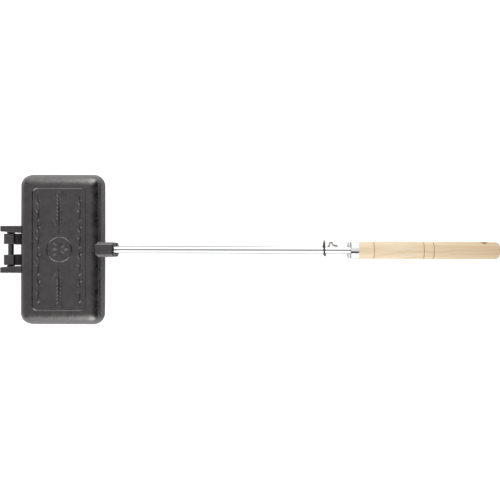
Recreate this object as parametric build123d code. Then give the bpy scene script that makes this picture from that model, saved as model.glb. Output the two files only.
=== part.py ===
from build123d import *
import os
from math import acos, cos, degrees, pi, radians, sin, tan

# Camp pie iron: two hinged cast-iron halves, each on a chromed rod with a turned wooden handle.
# Millimetres. +X runs from the hinge to the handles, +Y across the head, +Z up.
# The origin is the middle of the overall length, on the surface that the closed iron lies on.

# ---- castings ----
head_length = 120.9          # along X, at the parting line
head_width = 219.3           # along Y, at the parting line
half_depth = 25.2            # parting plane to outer face
parting_gap = 0.3            # between the two rims, closed
casting_draft = 10.0         # degrees, outer and inner walls
rim_back_corner_radius = 17.5   # hinge side
rim_front_corner_radius = 15.5
shoulder_radius = 17.6       # round between wall and outer face
rim_edge_radius = 1.6
rim_width = 6.0              # flat mating land
floor_thickness = 4.6
cavity_corner_radius = 13.0
cavity_floor_radius = 9.5
cavity_lip_radius = 0.8
panel_length = 77.2          # sunk panel in the outer face, along X
panel_width = 175.5
panel_corner_radius = 8.0
panel_depth = 1.0
panel_wall_angle = 45.0

# ---- rod socket on each casting ----
rod_diameter = 10.0
rod_offset = 12.7            # rod axis to parting plane
socket_width = 21.0          # at the end face
socket_height = 18.6
socket_chamfer = 3.6
socket_draft = 0.5           # degrees, widening towards the head
socket_projection = 16.7     # beyond the rim
socket_length = 30.5         # into the shoulder
socket_end_radius = 3.4
rod_engagement = 19.0        # threaded length in the socket
thread_clearance = 0.04
rod_end_gap = 0.5            # rod end to the bottom of a blind hole

# ---- hinge ----
pin_diameter = 8.0
pin_from_rim = 16.9          # pin axis to the rim
pin_clearance = 0.4          # radial, as cast
collar_diameter = 10.8       # on the pin beside each ear, keeps the hooks in the middle
collar_foot_diameter = 12.4  # where the collar grows out of the ear
collar_clearance = 0.5       # collar to hook
ear_span = 51.7              # between the inner faces of the two ears, at their free ends
ear_thickness = 8.3
ear_draft = 3.9              # degrees, inner face of an ear, thicker towards the wall
ear_reach = 11.6             # pin axis to the free end
ear_height = 14.2            # above the pin axis
ear_corner_radius = 3.0
ear_heel_clearance = 0.9     # heel of the ear to the rim of the other half
hook_span = 15.5             # between the inner faces of the two hooks
hook_thickness = 15.1
hook_radius = 10.0           # outside of the curl
hook_jaw_reach = 8.0         # top jaw, past the pin axis
hook_jaw_radius = 2.0
hook_edge_chamfer = 0.8
hook_arm_thickness = 16.1
hook_arm_start = 3.7         # past the pin axis
hook_arm_slope = 25.0        # degrees, top of the arm, falling towards the wall
hook_arm_depth = 19.0        # underside of the arm below the pin axis, at the wall
casting_root = 5.2           # how far ears and arms run into the wall
casting_edge_radius = 1.0

# ---- rods, ferrules, handles ----
rod_exposed = 341.7          # socket end face to ferrule
rod_in_handle = 64.0         # beyond the ferrule
ferrule_diameter = 25.0
ferrule_length = 10.5
ferrule_wall = 0.8
ferrule_front_wall = 1.2
ferrule_edge_radius = 0.8
ferrule_clearance = 0.05
handle_diameter = 24.8
handle_length = 203.0        # wood beyond the ferrule
handle_end_radius = 3.4
groove_positions = (22.1, 93.6, 107.9)   # from the ferrule
groove_width = 1.6
groove_depth = 0.9
hang_hole_diameter = 8.6
hang_hole_from_end = 21.6
hang_hole_tilt = 20.0        # degrees from horizontal

# ---- latch: one bent wire, wound round the lower rod ----
wire_diameter = 2.8
latch_from_ferrule = 38.4    # plane of the hook
latch_clearance = 0.3        # to either rod
latch_arc_start = 88.0       # degrees round the lower rod, from +Y
latch_arc_end = 97.5
latch_shoulder = 12.9        # straight, from the arc to the corner of the leg
latch_shoulder_radius = 3.0
latch_tip_run = 3.8
latch_tip_return = 2.6       # curled end, along the rod
latch_tip_radius = 2.0
latch_leg_lean = 1.9         # along the rod, from the hook down to the coil
coil_advance = 4.1           # along the rod, over the whole turn
coil_end_angle = -325.0
coil_corners = 4
tab_angle = 34.0             # plane of the thumb tab, from +Y
tab_foot_radius = 8.2        # distances from the lower rod's axis
tab_peak_radius = 17.6
tab_heel_radius = 9.0
tab_tail_radius = 7.4
tab_foot_advance = 4.0       # steps along the rod
tab_peak_advance = 1.8
tab_heel_advance = 3.4
tab_tail_advance = 7.2
tab_bend_radius = 1.6
full_round_margin = 0.1      # keeps a full round short of closing on itself
stop_thickness = 1.6         # swaged fins on the lower rod, either side of the latch
stop_height = 14.4

# ---- places along X ----
overall_length = (ear_reach + pin_from_rim + head_length + socket_projection
                  + rod_exposed + ferrule_length + handle_length)
pin_x = ear_reach - overall_length / 2
rim_back_x = pin_x + pin_from_rim
head_x = rim_back_x + head_length / 2
rim_front_x = rim_back_x + head_length
socket_end_x = rim_front_x + socket_projection
ferrule_x = socket_end_x + rod_exposed
handle_x = ferrule_x + ferrule_length
handle_end_x = handle_x + handle_length
latch_x = ferrule_x - latch_from_ferrule
coil_x = latch_x + latch_leg_lean
coil_end_x = coil_x + coil_advance

lower_rod_z = half_depth - rod_offset
upper_rod_z = half_depth + rod_offset
rod_radius = rod_diameter / 2
wire_radius = wire_diameter / 2
rod_start_x = socket_end_x - rod_engagement
rod_end_x = handle_x + rod_in_handle


def along_x(x, height=0.0):
    """Plane across the rod axis, looking towards the handles: local x is Y, local y is Z."""
    return Plane(origin=(x, 0, height), x_dir=(0, 1, 0), z_dir=(1, 0, 0))


def upright(profile, y, thickness):
    """Plate of an XZ profile drawn round the hinge pin, centred at y on the parting plane."""
    plane = Plane(origin=(pin_x, y, 0), x_dir=(1, 0, 0), z_dir=(0, -1, 0))
    return extrude(plane * profile, thickness / 2, both=True)


def tray(length, width, back_corner, front_corner, base, height, edge_round):
    """Drafted block with rounded corners and a rounded far edge."""
    outline = Rectangle(length, width)
    outline = fillet(outline.vertices().sort_by(Axis.X)[:2], back_corner)
    outline = fillet(outline.vertices().sort_by(Axis.X)[-2:], front_corner)
    block = extrude(Pos(head_x, 0, base) * outline, height, taper=casting_draft)
    return fillet(block.faces().sort_by(Axis.Z)[-1].edges(), edge_round)


def rod_socket():
    """Chamfered boss that the rod screws into."""
    flats = chamfer(Rectangle(socket_width, socket_height).vertices(), socket_chamfer)
    end_plane = Plane(origin=(socket_end_x, 0, rod_offset), x_dir=(0, 1, 0), z_dir=(-1, 0, 0))
    boss = extrude(end_plane * flats, socket_length, taper=-socket_draft)
    return fillet(boss.faces().sort_by(Axis.X)[-1].edges(), socket_end_radius)


def cooking_half():
    """One casting without its hinge, parting plane at Z = 0, dished towards +Z."""
    base = parting_gap / 2
    body = tray(head_length, head_width, rim_back_corner_radius, rim_front_corner_radius,
                base, half_depth - base, shoulder_radius)
    rim_edges = body.faces().sort_by(Axis.Z)[0].edges()
    body = fillet(rim_edges, rim_edge_radius) + rod_socket()
    cavity = tray(head_length - 2 * rim_width, head_width - 2 * rim_width, cavity_corner_radius,
                  cavity_corner_radius, base, half_depth - floor_thickness - base, cavity_floor_radius)
    body -= cavity
    lip = body.faces().sort_by(Axis.Z)[0].inner_wires()[0].edges()
    body = fillet(lip, cavity_lip_radius)
    panel = Pos(head_x, 0, half_depth) * RectangleRounded(panel_length, panel_width, panel_corner_radius)
    body -= extrude(panel, -panel_depth, taper=panel_wall_angle)
    bore_radius = rod_radius + thread_clearance
    bore = extrude(along_x(socket_end_x, rod_offset) * Circle(bore_radius), -rod_engagement - rod_end_gap)
    return body - bore


def both_sides(lug):
    """A lug and its twin across the middle of the head."""
    return lug + mirror(lug, Plane.XZ)


def hinge_ear():
    """Lug on the upper casting that carries the +Y end of the pin."""
    root, base = pin_from_rim + casting_root, parting_gap / 2
    heel = pin_from_rim - ear_heel_clearance
    tangent = -acos(ear_reach / heel)
    halfway = (tangent - pi) / 2
    outline = Polyline((-ear_reach, 0), (-ear_reach, ear_height), (root, ear_height), (root, base),
                       (heel, base), (ear_reach * cos(tangent), ear_reach * sin(tangent)))
    outline += ThreePointArc(outline @ 1, (ear_reach * cos(halfway), ear_reach * sin(halfway)),
                             (-ear_reach, 0))
    profile = make_face(outline)
    corner = profile.vertices().sort_by_distance((-ear_reach, ear_height, 0))[0]
    free_y, outer_y = ear_span / 2, ear_span / 2 + ear_thickness
    root_y = free_y - (ear_reach + root) * tan(radians(ear_draft))
    plan = Polygon((-ear_reach, free_y), (root, root_y), (root, outer_y), (-ear_reach, outer_y), align=None)
    plate = upright(fillet(corner, ear_corner_radius), outer_y, 2 * (outer_y - root_y))
    plate &= Pos(pin_x, 0, 0) * extrude(plan, ear_height, both=True)
    return fillet(plate.faces().sort_by(SortBy.AREA)[-2:].edges(), casting_edge_radius)


def hinge_pin():
    """Bar cast between the ears, with a tapered collar beside each of them."""
    bar = Rot(90, 0, 0) * Cylinder(pin_diameter / 2, ear_span + ear_thickness)
    half_span = ear_span / 2
    collar_length = half_span - hook_span / 2 - hook_thickness - collar_clearance
    collar = Cone(collar_foot_diameter / 2, collar_diameter / 2, collar_length,
                  align=(Align.CENTER, Align.CENTER, Align.MIN))
    return Pos(pin_x, 0, 0) * (bar + both_sides(Pos(0, half_span, 0) * Rot(90, 0, 0) * collar))


def hinge_hook():
    """Open hook on the lower casting, +Y side: a curl over the pin, on an arm from the wall."""
    outside, bore = hook_radius, pin_diameter / 2 + pin_clearance
    root = pin_from_rim + casting_root
    centre_y = (hook_span + hook_thickness) / 2
    outline = ThreePointArc((0, outside), (-outside, 0), (0, -outside))
    arm_top = bore + (root - hook_arm_start) * tan(radians(hook_arm_slope))
    outline += Polyline((0, -outside), (root, -hook_arm_depth), (root, -arm_top),
                        (hook_arm_start, -bore), (0, -bore))
    outline += ThreePointArc((0, -bore), (-bore, 0), (0, bore))
    outline += Polyline((0, bore), (hook_jaw_reach, bore), (hook_jaw_reach, outside), (0, outside))
    profile = make_face(outline)
    curl = upright(fillet(profile.vertices().sort_by_distance((hook_jaw_reach, outside, 0))[0],
                          hook_jaw_radius), centre_y, hook_thickness)
    curl = chamfer(curl.faces().filter_by(Axis.Y).edges(), hook_edge_chamfer)
    arm = Pos((hook_arm_start + root) / 2, -root) * Rectangle(root - hook_arm_start, 2 * root)
    return curl + upright(profile & arm, centre_y, hook_arm_thickness)


def upper_casting():
    return Pos(0, 0, half_depth) * (cooking_half() + hinge_pin() + both_sides(hinge_ear()))


def lower_casting():
    return Pos(0, 0, half_depth) * (mirror(cooking_half(), Plane.XY) + both_sides(hinge_hook()))


def rod(height):
    return extrude(along_x(rod_start_x, height) * Circle(rod_radius), rod_end_x - rod_start_x)


def latch_stop(x):
    """Fin swaged out of the lower rod, above and below."""
    fin = RectangleRounded(rod_radius, stop_height, rod_radius / 2 - full_round_margin)
    return extrude(along_x(x, lower_rod_z) * fin, stop_thickness)


def lower_rod():
    play = wire_radius + latch_clearance
    tail_x = coil_end_x + tab_foot_advance + tab_peak_advance + tab_heel_advance + tab_tail_advance
    return rod(lower_rod_z) + latch_stop(latch_x - play - stop_thickness) + latch_stop(tail_x + play)


def ferrule(height):
    """Drawn steel cup over the front of the handle."""
    outer, bore = ferrule_diameter / 2, rod_radius + ferrule_clearance
    cup = extrude(along_x(ferrule_x, height) * Circle(outer), ferrule_length)
    cup = fillet(cup.edges().sort_by(Axis.X)[0], ferrule_edge_radius)
    inside = along_x(ferrule_x + ferrule_front_wall, height) * Circle(outer - ferrule_wall)
    cup -= extrude(inside, ferrule_length)
    return cup - extrude(along_x(ferrule_x, height) * Circle(bore), ferrule_front_wall)


def handle(height):
    """Turned grip: tenon in the ferrule, three V grooves, rounded end, hanging hole."""
    radius = handle_diameter / 2
    tenon_radius = ferrule_diameter / 2 - ferrule_wall - ferrule_clearance
    tenon_x = ferrule_x + ferrule_front_wall + ferrule_clearance
    outline = [(tenon_x, 0), (tenon_x, tenon_radius), (handle_x, tenon_radius), (handle_x, radius)]
    for position in groove_positions:
        centre = handle_x + position
        outline += [(centre - groove_width / 2, radius), (centre, radius - groove_depth),
                    (centre + groove_width / 2, radius)]
    outline += [(handle_end_x, radius), (handle_end_x, 0)]
    grip = revolve(Plane.XZ * Polygon(*outline, align=None), Axis.X)
    grip = fillet(grip.edges().filter_by(GeomType.CIRCLE).sort_by(Axis.X)[-1], handle_end_radius)
    bore_length = rod_end_x - tenon_x + rod_end_gap
    grip -= extrude(along_x(tenon_x) * Circle(rod_radius + ferrule_clearance), bore_length)
    hole = Rot(90 + hang_hole_tilt, 0, 0) * Cylinder(hang_hole_diameter / 2, 2 * handle_diameter)
    grip -= Pos(handle_end_x - hang_hole_from_end, 0, 0) * hole
    return Pos(0, 0, height) * grip


def latch_point(x, distance, angle):
    """Point at a distance and angle (degrees from +Y) round the lower rod."""
    return Vector(x, distance * cos(radians(angle)), lower_rod_z + distance * sin(radians(angle)))


def latch_hook():
    """Wire hook: arc over the upper rod about the lower one, leg, one turn, thumb tab."""
    arc_radius = 2 * rod_offset + rod_radius + latch_clearance + wire_radius
    coil_radius = rod_radius + latch_clearance + wire_radius
    half_arc = radians(latch_arc_end - latch_arc_start) / 2
    arc_corner = latch_point(latch_x, arc_radius / cos(half_arc), (latch_arc_start + latch_arc_end) / 2)
    arc_in = latch_point(latch_x, arc_radius, latch_arc_end)
    arc_out = latch_point(latch_x, arc_radius, latch_arc_start)
    tip = arc_in + (arc_in - arc_corner).normalized() * latch_tip_run
    tip_end = tip + Vector(latch_tip_return, 0, 0)
    shoulder = arc_out + (arc_out - arc_corner).normalized() * latch_shoulder

    reach = Vector(0, shoulder.Y, shoulder.Z - lower_rod_z)
    shoulder_angle = degrees(acos(shoulder.Y / reach.length))
    coil_start_angle = shoulder_angle - degrees(acos(coil_radius / reach.length))
    step = (coil_end_angle - coil_start_angle) / coil_corners
    corner_radius = coil_radius / cos(radians(step / 2))
    coil = [latch_point(coil_x + coil_advance * (n + 0.5) / coil_corners, corner_radius,
                        coil_start_angle + step * (n + 0.5)) for n in range(coil_corners)]

    tab, tab_x = [], coil_end_x
    for advance, distance in ((tab_foot_advance, tab_foot_radius), (tab_peak_advance, tab_peak_radius),
                              (tab_heel_advance, tab_heel_radius), (tab_tail_advance, tab_tail_radius)):
        tab_x += advance
        tab.append(latch_point(tab_x, distance, tab_angle))

    points = [tip_end, tip, arc_corner, shoulder] + coil + tab
    coil_bend = coil_radius - full_round_margin
    bends = ([latch_tip_radius, arc_radius, latch_shoulder_radius] + [coil_bend] * coil_corners
             + [tab_bend_radius] * 3)
    path = FilletPolyline(*points, radius=bends)
    return sweep(Plane(origin=path @ 0, z_dir=path % 0) * Circle(wire_radius), path)


def export(solid, node):
    solid.label = node
    export_step(solid, os.path.join("parts", node + ".step"))


os.makedirs("parts", exist_ok=True)
export(lower_casting(), "lower_casting")
export(upper_casting(), "upper_casting")
export(lower_rod(), "lower_rod")
export(rod(upper_rod_z), "upper_rod")
export(ferrule(lower_rod_z), "lower_ferrule")
export(ferrule(upper_rod_z), "upper_ferrule")
export(handle(lower_rod_z), "lower_handle")
export(handle(upper_rod_z), "upper_handle")
export(latch_hook(), "latch_hook")
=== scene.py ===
from math import atan2, cos, pi, radians, sin

import bpy
from mathutils import Matrix, Vector


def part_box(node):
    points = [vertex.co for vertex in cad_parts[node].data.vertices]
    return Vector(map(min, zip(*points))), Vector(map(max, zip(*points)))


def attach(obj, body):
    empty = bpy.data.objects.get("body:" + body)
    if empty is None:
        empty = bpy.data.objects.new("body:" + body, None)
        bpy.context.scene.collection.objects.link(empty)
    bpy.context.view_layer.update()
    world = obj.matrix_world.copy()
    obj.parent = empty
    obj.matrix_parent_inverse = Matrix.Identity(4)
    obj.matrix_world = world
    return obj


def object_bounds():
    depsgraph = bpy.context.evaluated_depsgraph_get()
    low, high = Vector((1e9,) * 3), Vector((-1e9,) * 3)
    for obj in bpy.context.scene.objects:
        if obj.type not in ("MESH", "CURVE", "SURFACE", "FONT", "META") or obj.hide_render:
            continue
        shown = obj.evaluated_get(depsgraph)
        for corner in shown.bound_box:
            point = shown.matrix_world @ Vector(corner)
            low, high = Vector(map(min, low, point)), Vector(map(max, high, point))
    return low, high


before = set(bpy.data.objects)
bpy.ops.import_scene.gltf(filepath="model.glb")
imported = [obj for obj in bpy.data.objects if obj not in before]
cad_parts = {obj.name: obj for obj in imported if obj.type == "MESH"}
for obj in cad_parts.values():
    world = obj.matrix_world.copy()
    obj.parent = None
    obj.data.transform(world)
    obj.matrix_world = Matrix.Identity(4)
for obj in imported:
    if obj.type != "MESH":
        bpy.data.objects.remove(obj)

cad_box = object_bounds()


# --------------------------------------------------------------------------------------------
# The two castings. Grey iron poured in green sand, tumbled, then seasoned: a baked film of oil,
# nearly black, that keeps the grain of the sand and gives it a low, broad sheen.
# --------------------------------------------------------------------------------------------
MM = 0.001


def colour(hex_code):
    """The linear colour, with alpha, of an sRGB hex code."""
    channels = [int(hex_code[i:i + 2], 16) / 255 for i in (1, 3, 5)]
    return [c / 12.92 if c <= 0.04045 else ((c + 0.055) / 1.055) ** 2.4 for c in channels] + [1.0]


def add_node(tree, kind, inputs=None, **settings):
    """A node with its settings; each input is a value or the socket that feeds it."""
    node = tree.nodes.new(kind)
    for name, value in settings.items():
        setattr(node, name, value)
    for socket, value in (inputs or {}).items():
        if isinstance(value, bpy.types.NodeSocket):
            tree.links.new(value, node.inputs[socket])
        else:
            node.inputs[socket].default_value = value
    return node


def new_material(name):
    """An empty node material and its tree."""
    material = bpy.data.materials.new(name)
    material.use_nodes = True
    material.node_tree.nodes.clear()
    return material, material.node_tree


def finish_node(node_name, material):
    """Gives a CAD node one material."""
    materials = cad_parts[node_name].data.materials
    materials.clear()
    materials.append(material)


# Seasoned cast iron, as cast in sand. Near black with a brown cast, in blotches of 5 to 10 mm
# where the oil film is thick or thin; the grain of the sand breaks up a broad, low gloss.
cast_iron, tree = new_material("seasoned_cast_iron")
place = add_node(tree, "ShaderNodeTexCoord").outputs["Object"]
blotches_per_metre = 90.0
film = add_node(tree, "ShaderNodeTexNoise",
                {"Vector": place, "Scale": blotches_per_metre, "Detail": 5.0, "Roughness": 0.7})
thickness = add_node(tree, "ShaderNodeMapRange",
                     {"Value": film.outputs["Fac"], "From Min": 0.38, "From Max": 0.62})
shade = add_node(tree, "ShaderNodeMix",
                 {0: thickness.outputs[0], 6: colour("#0e0c0c"), 7: colour("#282324")},
                 data_type="RGBA")
gloss = add_node(tree, "ShaderNodeMapRange",
                 {"Value": film.outputs["Fac"], "From Min": 0.38, "From Max": 0.62,
                  "To Min": 0.24, "To Max": 0.33})
# The mould's swells are 8 mm across. Sand grains are 0.3 mm; they are drawn at 1.3 mm so that
# they still show from a metre away.
swells_per_metre, grains_per_metre = 120.0, 760.0
sand = add_node(tree, "ShaderNodeTexNoise",
                {"Vector": place, "Scale": grains_per_metre, "Detail": 3.0, "Roughness": 0.65})
swell = add_node(tree, "ShaderNodeTexNoise",
                 {"Vector": place, "Scale": swells_per_metre, "Detail": 2.0})
relief = add_node(tree, "ShaderNodeBump",
                  {"Height": swell.outputs["Fac"], "Strength": 0.18, "Distance": 0.6 * MM})
relief = add_node(tree, "ShaderNodeBump",
                  {"Height": sand.outputs["Fac"], "Strength": 0.3, "Distance": 0.3 * MM,
                   "Normal": relief.outputs["Normal"]})
shader = add_node(tree, "ShaderNodeBsdfPrincipled",
                  {"Base Color": shade.outputs[2], "Roughness": gloss.outputs[0], "IOR": 2.2,
                   "Specular Tint": colour("#fffbfb"), "Normal": relief.outputs["Normal"]})
add_node(tree, "ShaderNodeOutputMaterial", {"Surface": shader.outputs["BSDF"]})
for node_name in ("lower_casting", "upper_casting"):
    finish_node(node_name, cast_iron)


# --------------------------------------------------------------------------------------------
# The ornament in the sunk panel of each casting: a rosette in a ring, two ears of wheat, and a
# leafy vine down each long side. It is carved in the pattern with a V tool and cast with the
# iron, so it is all sharp ridges, proud of the panel's floor but never of the face round it.
# --------------------------------------------------------------------------------------------
iron_height = cad_box[1][2]
panel_depth = 1.0 * MM
panel_floor = iron_height - panel_depth
socket_end_to_panel_middle = 77.15 * MM
panel_middle = Vector((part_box("upper_casting")[1].x - socket_end_to_panel_middle, 0, 0))


def select_only(obj):
    """Nothing but this object is selected and active."""
    bpy.ops.object.select_all(action="DESELECT")
    obj.select_set(True)
    bpy.context.view_layer.objects.active = obj


def select_in_mesh(obj, kind, chosen):
    """In edit mode, only the vertices, edges or faces that the test picks are selected."""
    select_only(obj)
    for item in [*obj.data.vertices, *obj.data.edges, *obj.data.polygons]:
        item.select = False
    for item in getattr(obj.data, kind):
        item.select = chosen(item)
    bpy.ops.object.mode_set(mode="EDIT")
    select_mode = {"vertices": "VERT", "edges": "EDGE", "polygons": "FACE"}[kind]
    bpy.ops.mesh.select_mode(type=select_mode)


def ridge_leaf(name, length, width, height, widest):
    """A leaf with a sharp midrib, half sunk in the floor, along Y from the origin to its tip.
    Its sizes are in mm, and widest is where along it, from 0 to 1, it is broadest."""
    bpy.ops.object.select_all(action="DESELECT")
    bpy.ops.mesh.primitive_cone_add(vertices=4, radius1=1.0, radius2=0.0, depth=1 - widest,
                                    location=(0, (1 + widest) / 2, 0), rotation=(-pi / 2, 0, 0))
    leaf = bpy.context.object
    leaf.name = name
    bpy.ops.object.transform_apply(location=True, rotation=True, scale=True)
    # The cone is the half to the tip; its base is drawn back to a point at the foot.
    select_in_mesh(leaf, "polygons", lambda face: face.normal.y < -0.9)
    bpy.ops.mesh.extrude_region_move(TRANSFORM_OT_translate={"value": (0, -widest, 0)})
    bpy.ops.mesh.merge(type="CENTER")
    bpy.ops.object.mode_set(mode="OBJECT")
    # The edges round its broadest place are rounded.
    points = leaf.data.vertices
    select_in_mesh(leaf, "edges",
                   lambda edge: all(abs(points[v].co.y - widest) < 0.01 for v in edge.vertices))
    bpy.ops.mesh.bevel(offset=0.3, segments=4, profile=0.5)
    bpy.ops.object.mode_set(mode="OBJECT")
    leaf.scale = (width * MM / 2, length * MM, height * MM)
    bpy.ops.object.transform_apply(location=False, rotation=False, scale=True)
    return leaf


def placed(source, x, y, turn=0.0, size=1.0):
    """A copy with its own mesh, on the panel's floor, x and y mm from the panel's middle."""
    copy = source.copy()
    copy.data = source.data.copy()
    bpy.context.collection.objects.link(copy)
    place = Matrix.Translation(panel_middle + Vector((x * MM, y * MM, panel_floor)))
    turned = Matrix.Rotation(radians(turn), 4, "Z")
    copy.data.transform(place @ turned @ Matrix.Diagonal((size, size, 1, 1)))
    return copy


grain = ridge_leaf("grain", 8.8, 3.6, 0.7, 0.42)
awn = ridge_leaf("awn", 15.0, 1.2, 0.7, 0.3)
blade = ridge_leaf("blade", 26.0, 4.6, 0.8, 0.4)
petal = ridge_leaf("petal", 11.5, 5.6, 0.85, 0.62)
stalk = ridge_leaf("stalk", 62.0, 2.2, 0.9, 0.5)
stem = ridge_leaf("stem", 21.5, 2.2, 0.9, 0.5)
vine_leaf = ridge_leaf("vine_leaf", 10.5, 4.8, 0.8, 0.36)

# The ring round the rosette, its sharp crest dressed with a file.
bpy.ops.object.select_all(action="DESELECT")
bpy.ops.mesh.primitive_torus_add(major_radius=17.6 * MM, minor_radius=0.8 * MM,
                                 major_segments=72, minor_segments=4,
                                 location=panel_middle + Vector((0, 0, panel_floor)))
ring = bpy.context.object
bpy.ops.object.transform_apply(location=True, rotation=True, scale=True)
points = ring.data.vertices
just_under_crest = max(point.co.z for point in points) - 0.01 * MM
select_in_mesh(ring, "edges",
               lambda edge: all(points[v].co.z > just_under_crest for v in edge.vertices))
bpy.ops.mesh.bevel(offset=0.15 * MM, segments=1)
bpy.ops.object.mode_set(mode="OBJECT")

# The rosette: eight petals with their feet on a small circle. Here and below, places are in mm
# from the panel's middle and turns are in degrees.
ornament = [ring]
petals, petal_foot = 8, 1.6
for n in range(petals):
    turn = 360.0 / petals * n
    ornament.append(placed(petal, -petal_foot * sin(radians(turn)),
                           petal_foot * cos(radians(turn)), turn))

# An ear of wheat at each end: a stalk, the same parts to each side of it, and a grain at the
# tip. Each side part has its distance off the stalk and along it, its lean, and its size.
stalk_foot, tip_grain, grain_rows, first_grain, grain_step = 19.5, 75.6, 7, 38.5, 5.4
side_parts = [(blade, 0.6, 22.0, 22, 1.0)]
side_parts += [(grain, 1.0, first_grain + grain_step * row, 20, 1.0) for row in range(grain_rows)]
side_parts += [(awn, 4.2, 76.0, 14, 0.68)]
for side, end in ((1, 0), (-1, 180)):
    ornament.append(placed(stalk, 0, side * stalk_foot, end))
    for hand in (-1, 1):
        for part, off, along, lean, size in side_parts:
            ornament.append(placed(part, side * hand * -off, side * along, end + hand * lean, size))
    ornament.append(placed(grain, 0, side * tip_grain, end))

# A vine down each long side: eight stems in a zigzag, each with a leaf to one hand near its
# foot and a smaller one to the other hand half way up.
vine_middle, vine_sway, stems, first_stem, stem_step, stem_lean = 29.6, 1.3, 8, -78.0, 19.5, 7.5
low_leaf, low_leaf_turn, high_leaf, high_leaf_turn, high_leaf_shift = 1.0, 4.0, 10.5, -3.8, 0.12
for side in (-1, 1):
    for n in range(stems):
        hand = 1 if n % 2 else -1
        foot, lean = first_stem + stem_step * n, stem_lean * hand
        crook = side * vine_middle + vine_sway * hand
        ornament.append(placed(stem, crook, foot, lean))
        ornament.append(placed(vine_leaf, crook, foot + low_leaf, lean * low_leaf_turn))
        ornament.append(placed(vine_leaf, crook - high_leaf_shift * lean, foot + high_leaf,
                               lean * high_leaf_turn, 0.9))
for model in (grain, awn, blade, petal, stalk, stem, vine_leaf):
    bpy.data.objects.remove(model)

# Both castings carry the same ornament; the lower one's is turned over.
select_only(ring)
for piece in ornament:
    piece.select_set(True)
bpy.ops.object.join()
upper_ornament = bpy.context.object
upper_ornament.name = "upper_panel_ornament"
upper_ornament.data.materials.clear()
upper_ornament.data.materials.append(cast_iron)
lower_ornament = upper_ornament.copy()
lower_ornament.data = upper_ornament.data.copy()
lower_ornament.name = "lower_panel_ornament"
bpy.context.collection.objects.link(lower_ornament)
turned_over = Matrix.Translation((0, 0, iron_height)) @ Matrix.Rotation(pi, 4, "X")
lower_ornament.data.transform(turned_over)
for piece, body in ((upper_ornament, "upper_half"), (lower_ornament, "lower_half")):
    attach(piece, body)


# --------------------------------------------------------------------------------------------
# The rods. Cold-drawn steel bar, threaded into the castings, polished and plated bright: a
# mirror, with the faint lines of drawing and wiping running along it.
# --------------------------------------------------------------------------------------------
# Bright chromium plate over polished steel. Its lines are 0.7 mm apart and 70 mm long.
chrome, tree = new_material("bright_chromium_plate")
place = add_node(tree, "ShaderNodeTexCoord").outputs["Object"]
along = add_node(tree, "ShaderNodeMapping", {"Vector": place, "Scale": (14.0, 1500.0, 1500.0)})
lines = add_node(tree, "ShaderNodeTexNoise",
                 {"Vector": along.outputs[0], "Scale": 1.0, "Detail": 2.0})
gloss = add_node(tree, "ShaderNodeMapRange",
                 {"Value": lines.outputs["Fac"], "From Min": 0.3, "From Max": 0.7,
                  "To Min": 0.02, "To Max": 0.05})
wiped = add_node(tree, "ShaderNodeBump",
                 {"Height": lines.outputs["Fac"], "Strength": 0.1, "Distance": 0.02 * MM})
shader = add_node(tree, "ShaderNodeBsdfPrincipled",
                  {"Base Color": colour("#dcddde"), "Metallic": 1.0,
                   "Roughness": gloss.outputs[0], "Normal": wiped.outputs["Normal"]})
add_node(tree, "ShaderNodeOutputMaterial", {"Surface": shader.outputs["BSDF"]})
for node_name in ("lower_rod", "upper_rod"):
    finish_node(node_name, chrome)


# --------------------------------------------------------------------------------------------
# The ferrules. Tinned sheet steel rolled to a cup and closed with a lapped, soldered seam,
# which lies on the outer side of each handle, a little off the middle.
# --------------------------------------------------------------------------------------------
# Tin, wiped on hot, in patches 4 mm across: pale and smooth but not polished, so it shines
# broadly and mirrors nothing.
tin, tree = new_material("wiped_tin_plate")
place = add_node(tree, "ShaderNodeTexCoord").outputs["Object"]
wiped = add_node(tree, "ShaderNodeTexNoise", {"Vector": place, "Scale": 260.0, "Detail": 3.0})
gloss = add_node(tree, "ShaderNodeMapRange",
                 {"Value": wiped.outputs["Fac"], "From Min": 0.3, "From Max": 0.7,
                  "To Min": 0.62, "To Max": 0.74})
# The seam is a painted dark band, 2.8 mm wide: painted shade and dark reflection in its lap.
# It shows only on the side away from the other handle: more than 18 mm from the middle of the
# iron's height.
seam_offset, outer_side = 2.9 * MM, 18 * MM
parts = add_node(tree, "ShaderNodeSeparateXYZ", {0: place})
height = add_node(tree, "ShaderNodeMath", {0: parts.outputs["Z"], 1: iron_height / 2},
                  operation="SUBTRACT")
away = add_node(tree, "ShaderNodeMath", {0: height.outputs[0]}, operation="SIGN")
off = add_node(tree, "ShaderNodeMath",
               {0: parts.outputs["Y"], 1: away.outputs[0], 2: seam_offset},
               operation="MULTIPLY_ADD")
off = add_node(tree, "ShaderNodeMath", {0: off.outputs[0]}, operation="ABSOLUTE")
painted_seam_shade = add_node(tree, "ShaderNodeMapRange",
                {"Value": off.outputs[0], "From Min": 1.1 * MM, "From Max": 1.7 * MM,
                 "To Min": 1.0, "To Max": 0.0})
height = add_node(tree, "ShaderNodeMath", {0: height.outputs[0]}, operation="ABSOLUTE")
outer = add_node(tree, "ShaderNodeMath", {0: height.outputs[0], 1: outer_side},
                 operation="GREATER_THAN")
painted_seam_shade = add_node(tree, "ShaderNodeMath", {0: painted_seam_shade.outputs[0], 1: outer.outputs[0]},
                operation="MULTIPLY")
# Painted shade: the seam's band is darkened to #5c5c5e.
shade = add_node(tree, "ShaderNodeMix",
                 {0: painted_seam_shade.outputs[0], 6: colour("#f1f1f2"), 7: colour("#5c5c5e")},
                 data_type="RGBA")
shader = add_node(tree, "ShaderNodeBsdfPrincipled",
                  {"Base Color": shade.outputs[2], "Metallic": 1.0,
                   "Roughness": gloss.outputs[0]})
add_node(tree, "ShaderNodeOutputMaterial", {"Surface": shader.outputs["BSDF"]})
for node_name in ("lower_ferrule", "upper_ferrule"):
    finish_node(node_name, tin)


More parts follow.
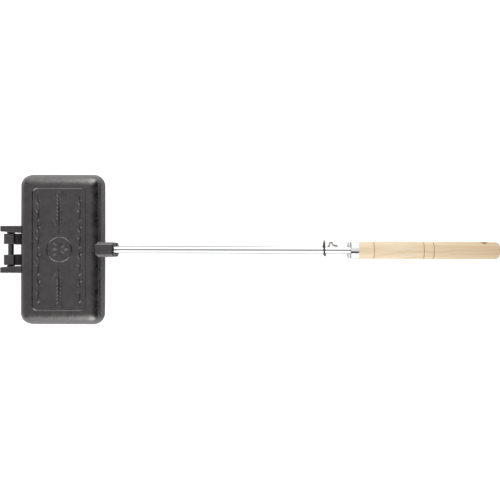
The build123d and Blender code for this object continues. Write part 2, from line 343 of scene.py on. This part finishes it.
# --------------------------------------------------------------------------------------------
# The handles. Beech turned from square stock, sanded and left bare; the three rings are burnt
# in with a wire held in a V groove while the handle spins.
# --------------------------------------------------------------------------------------------
handle_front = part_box("lower_ferrule")[1].x
groove_places = (22.1 * MM, 93.6 * MM, 107.9 * MM)
painted_shade_from, painted_shade_to = 60 * MM, 200 * MM


def bare_beech(half, pith):
    """Pale beech with its rings round a pith beside the handle, grain along X, burnt grooves."""
    material, tree = new_material("bare_beech_" + half)
    place = add_node(tree, "ShaderNodeTexCoord").outputs["Object"]
    # Growth rings, 3.4 mm apart, that wander by a few mm.
    from_pith = add_node(tree, "ShaderNodeMapping",
                         {"Vector": place, "Location": pith,
                          "Rotation": (0, radians(1.6), radians(2.4))})
    wander = add_node(tree, "ShaderNodeTexNoise", {"Vector": place, "Scale": 22.0, "Detail": 2.0})
    bent = add_node(tree, "ShaderNodeVectorMath",
                    {0: wander.outputs["Color"], "Scale": 6.0 * MM}, operation="SCALE")
    bent = add_node(tree, "ShaderNodeVectorMath",
                    {0: from_pith.outputs[0], 1: bent.outputs[0]}, operation="ADD")
    rings = add_node(tree, "ShaderNodeTexWave",
                     {"Vector": bent.outputs[0], "Scale": 92.0, "Distortion": 0.6,
                      "Detail": 2.0, "Detail Scale": 1.5},
                     wave_type="RINGS", rings_direction="X", wave_profile="SAW")
    base = add_node(tree, "ShaderNodeMix",
                    {0: rings.outputs["Fac"], 6: colour("#f7e6cc"), 7: colour("#ecd4ae")},
                    data_type="RGBA")
    # Bundles of fibres, 1.6 mm wide and 40 mm long, streak it and stand a little proud.
    bundle = add_node(tree, "ShaderNodeMapping", {"Vector": place, "Scale": (26.0, 620.0, 620.0)})
    fibre = add_node(tree, "ShaderNodeTexNoise",
                     {"Vector": bundle.outputs[0], "Scale": 1.0, "Detail": 4.0, "Roughness": 0.6})
    streak = add_node(tree, "ShaderNodeMapRange",
                      {"Value": fibre.outputs["Fac"], "From Min": 0.35, "From Max": 0.75,
                       "To Min": 0.0, "To Max": 0.5})
    base = add_node(tree, "ShaderNodeMix",
                    {0: streak.outputs[0], 6: base.outputs[2], 7: colour("#dcbd92")},
                    data_type="RGBA")
    raised = add_node(tree, "ShaderNodeBump",
                      {"Height": fibre.outputs["Fac"], "Strength": 0.25, "Distance": 0.15 * MM})
    # Pores and ray flecks are 0.1 mm wide; they are drawn 0.4 mm wide and 4 mm long.
    pores = add_node(tree, "ShaderNodeMapping",
                     {"Vector": place, "Scale": (240.0, 2200.0, 2200.0)})
    fleck = add_node(tree, "ShaderNodeTexVoronoi", {"Vector": pores.outputs[0], "Scale": 1.0})
    fleck = add_node(tree, "ShaderNodeMapRange",
                     {"Value": fleck.outputs["Distance"], "From Min": 0.1, "From Max": 0.28,
                      "To Min": 0.4, "To Max": 0.0})
    base = add_node(tree, "ShaderNodeMix",
                    {0: fleck.outputs[0], 6: base.outputs[2], 7: colour("#c9a274")},
                    data_type="RGBA")
    # Painted shade: the back half of the grip is browner, darker towards its end, standing in for
    # the light that falls off along the handle.
    x = add_node(tree, "ShaderNodeSeparateXYZ", {0: place}).outputs["X"]
    painted_falloff_shade = add_node(tree, "ShaderNodeMapRange",
                       {"Value": x, "From Min": handle_front + painted_shade_from,
                        "From Max": handle_front + painted_shade_to, "To Min": 0.0, "To Max": 0.5})
    base = add_node(tree, "ShaderNodeMix",
                    {0: painted_falloff_shade.outputs[0], 6: base.outputs[2], 7: colour("#c4a27c")},
                    data_type="RGBA")
    # The scorch fades out 0.8 mm from the middle of each groove.
    for groove in groove_places:
        off = add_node(tree, "ShaderNodeMath", {0: x, 1: handle_front + groove},
                       operation="SUBTRACT")
        off = add_node(tree, "ShaderNodeMath", {0: off.outputs[0]}, operation="ABSOLUTE")
        burnt = add_node(tree, "ShaderNodeMapRange",
                         {"Value": off.outputs[0], "From Min": 0.3 * MM, "From Max": 0.8 * MM,
                          "To Min": 0.6, "To Max": 0.0})
        base = add_node(tree, "ShaderNodeMix",
                        {0: burnt.outputs[0], 6: base.outputs[2], 7: colour("#8a6238")},
                        data_type="RGBA")
    shader = add_node(tree, "ShaderNodeBsdfPrincipled",
                      {"Base Color": base.outputs[2], "Roughness": 0.58, "IOR": 1.45,
                       "Normal": raised.outputs["Normal"]})
    add_node(tree, "ShaderNodeOutputMaterial", {"Surface": shader.outputs["BSDF"]})
    finish_node(half + "_handle", material)


bare_beech("lower", (0.0, 21 * MM, 14 * MM))
bare_beech("upper", (0.0, -9 * MM, -34 * MM))


# --------------------------------------------------------------------------------------------
# The latch. Hard-drawn spring wire, wound cold on the rod and bent to a hook and a thumb tab,
# left bare and oiled: a darker, browner metal than the rods.
# --------------------------------------------------------------------------------------------
# Bare spring steel, bright under an oil film that dulls it in specks 1.1 mm across.
wire, tree = new_material("bare_spring_steel")
place = add_node(tree, "ShaderNodeTexCoord").outputs["Object"]
oil = add_node(tree, "ShaderNodeTexNoise", {"Vector": place, "Scale": 900.0, "Detail": 2.0})
gloss = add_node(tree, "ShaderNodeMapRange",
                 {"Value": oil.outputs["Fac"], "To Min": 0.1, "To Max": 0.25})
shader = add_node(tree, "ShaderNodeBsdfPrincipled",
                  {"Base Color": colour("#8a8784"), "Metallic": 1.0,
                   "Roughness": gloss.outputs[0]})
add_node(tree, "ShaderNodeOutputMaterial", {"Surface": shader.outputs["BSDF"]})
finish_node("latch_hook", wire)


# --------------------------------------------------------------------------------------------
# The studio: a white table, a bright softbox low on each side and a dim one above it, a dark
# gap between them overhead, darker walls at the handle end, and a camera above the iron.
# --------------------------------------------------------------------------------------------
# White laminate, quite dull. The camera sees it white. Only in the mirror of the iron and the
# rods, it glows with painted light, brighter beyond 0.16 m to each side as if lit by the
# softboxes, and is darkened by a painted shadow beside the rods.
laminate, tree = new_material("white_table")
rays = add_node(tree, "ShaderNodeLightPath")
seen = add_node(tree, "ShaderNodeMath", {0: rays.outputs["Is Camera Ray"], 1: 0.8},
                operation="MULTIPLY")
place = add_node(tree, "ShaderNodeTexCoord").outputs["Object"]
place = add_node(tree, "ShaderNodeSeparateXYZ", {0: place})
y = add_node(tree, "ShaderNodeMath", {0: place.outputs["Y"]}, operation="ABSOLUTE")
# Painted light: glossy rays see the table glow, up to 0.6, beyond 0.16 m to each side.
painted_side_glow = add_node(tree, "ShaderNodeMapRange",
               {"Value": y.outputs[0], "From Min": 0.11, "From Max": 0.16,
                "To Min": 0.0, "To Max": 0.6})
camera_white_and_painted_glow = add_node(tree, "ShaderNodeMath",
                    {0: rays.outputs["Is Glossy Ray"], 1: painted_side_glow.outputs[0], 2: seen.outputs[0]},
                    operation="MULTIPLY_ADD")
# Painted shadow: glossy rays see the table darkened to #585858 beside the rods.
painted_shadow_middle = -0.04
off = add_node(tree, "ShaderNodeMath", {0: place.outputs["X"], 1: -painted_shadow_middle}, operation="ADD")
off = add_node(tree, "ShaderNodeMath", {0: off.outputs[0]}, operation="ABSOLUTE")
painted_shadow_band = add_node(tree, "ShaderNodeMapRange",
                       {"Value": off.outputs[0], "From Min": 0.14, "From Max": 0.06})
painted_reflection_shadow = add_node(tree, "ShaderNodeMath",
               {0: rays.outputs["Is Glossy Ray"], 1: painted_shadow_band.outputs[0]},
               operation="MULTIPLY")
shade = add_node(tree, "ShaderNodeMix",
                 {0: painted_reflection_shadow.outputs[0], 6: colour("#d3d3d3"), 7: colour("#585858")},
                 data_type="RGBA")
shader = add_node(tree, "ShaderNodeBsdfPrincipled",
                  {"Base Color": shade.outputs[2], "Roughness": 0.9, "Specular IOR Level": 0.0,
                   "Emission Color": (1, 1, 1, 1), "Emission Strength": camera_white_and_painted_glow.outputs[0]})
add_node(tree, "ShaderNodeOutputMaterial", {"Surface": shader.outputs["BSDF"]})
table_radius, table_top = 6.0, -0.2 * MM
bpy.ops.object.select_all(action="DESELECT")
bpy.ops.mesh.primitive_circle_add(vertices=64, radius=table_radius, fill_type="NGON",
                                  location=(0, 0, table_top))
table = bpy.context.object
table.name = "white_table"
table.data.materials.append(laminate)

# The room: white to the camera, bright to the sides, and falling to black at the handle end.
world = bpy.data.worlds.new("studio")
bpy.context.scene.world = world
world.use_nodes = True
tree = world.node_tree
tree.nodes.clear()
direction = add_node(tree, "ShaderNodeTexCoord").outputs["Generated"]
direction = add_node(tree, "ShaderNodeSeparateXYZ", {0: direction})
ends = add_node(tree, "ShaderNodeMapRange",
                {"Value": direction.outputs["X"], "From Min": 0.0, "From Max": 1.05,
                 "To Min": 0.41, "To Max": 0.0}, interpolation_type="SMOOTHSTEP")
y = add_node(tree, "ShaderNodeMath", {0: direction.outputs["Y"]}, operation="ABSOLUTE")
sides = add_node(tree, "ShaderNodeMapRange",
                 {"Value": y.outputs[0], "From Min": 0.55, "From Max": 0.85,
                  "To Min": 0.0, "To Max": 0.7})
walls = add_node(tree, "ShaderNodeMath", {0: ends.outputs[0], 1: sides.outputs[0]},
                 operation="ADD")
rays = add_node(tree, "ShaderNodeLightPath")
strength = add_node(tree, "ShaderNodeMix",
                    {0: rays.outputs["Is Camera Ray"], 2: walls.outputs[0], 3: 1.0})
background = add_node(tree, "ShaderNodeBackground",
                      {"Color": (1, 1, 1, 1), "Strength": strength.outputs[0]})
add_node(tree, "ShaderNodeOutputWorld", {"Surface": background.outputs[0]})

# The softboxes, a pair low and a pair high, turned to the iron: each one's middle, its length
# along X and its width, in metres, and its power in watts.
softboxes = ((0.06, 0.95, 0.5, 1.02, 0.75, 6.0), (0.05, 0.75, 1.12, 1.0, 0.45, 1.3))
for x, y, z, length, width, power in softboxes:
    for side in (-1, 1):
        lamp = bpy.data.lights.new("softbox", "AREA")
        lamp.shape, lamp.size, lamp.size_y, lamp.energy = "RECTANGLE", length, width, power
        softbox = bpy.data.objects.new("softbox", lamp)
        bpy.context.collection.objects.link(softbox)
        softbox.location = (x, side * y, z)
        softbox.rotation_euler = (-side * atan2(y, z), 0, 0)
        softbox.visible_camera = False

# The camera looks straight down on the middle of the iron, a hair off square.
camera_x, camera_height, camera_roll = 1.65 * MM, 1.0, radians(0.15)
camera_data = bpy.data.cameras.new("camera")
camera_data.lens, camera_data.sensor_width = 47.83, 36.0
camera = bpy.data.objects.new("camera", camera_data)
bpy.context.collection.objects.link(camera)
camera.location = (camera_x, 0, camera_height)
camera.rotation_euler = (0, 0, camera_roll)
bpy.context.scene.camera = camera
bpy.context.scene.view_settings.view_transform = "Standard"
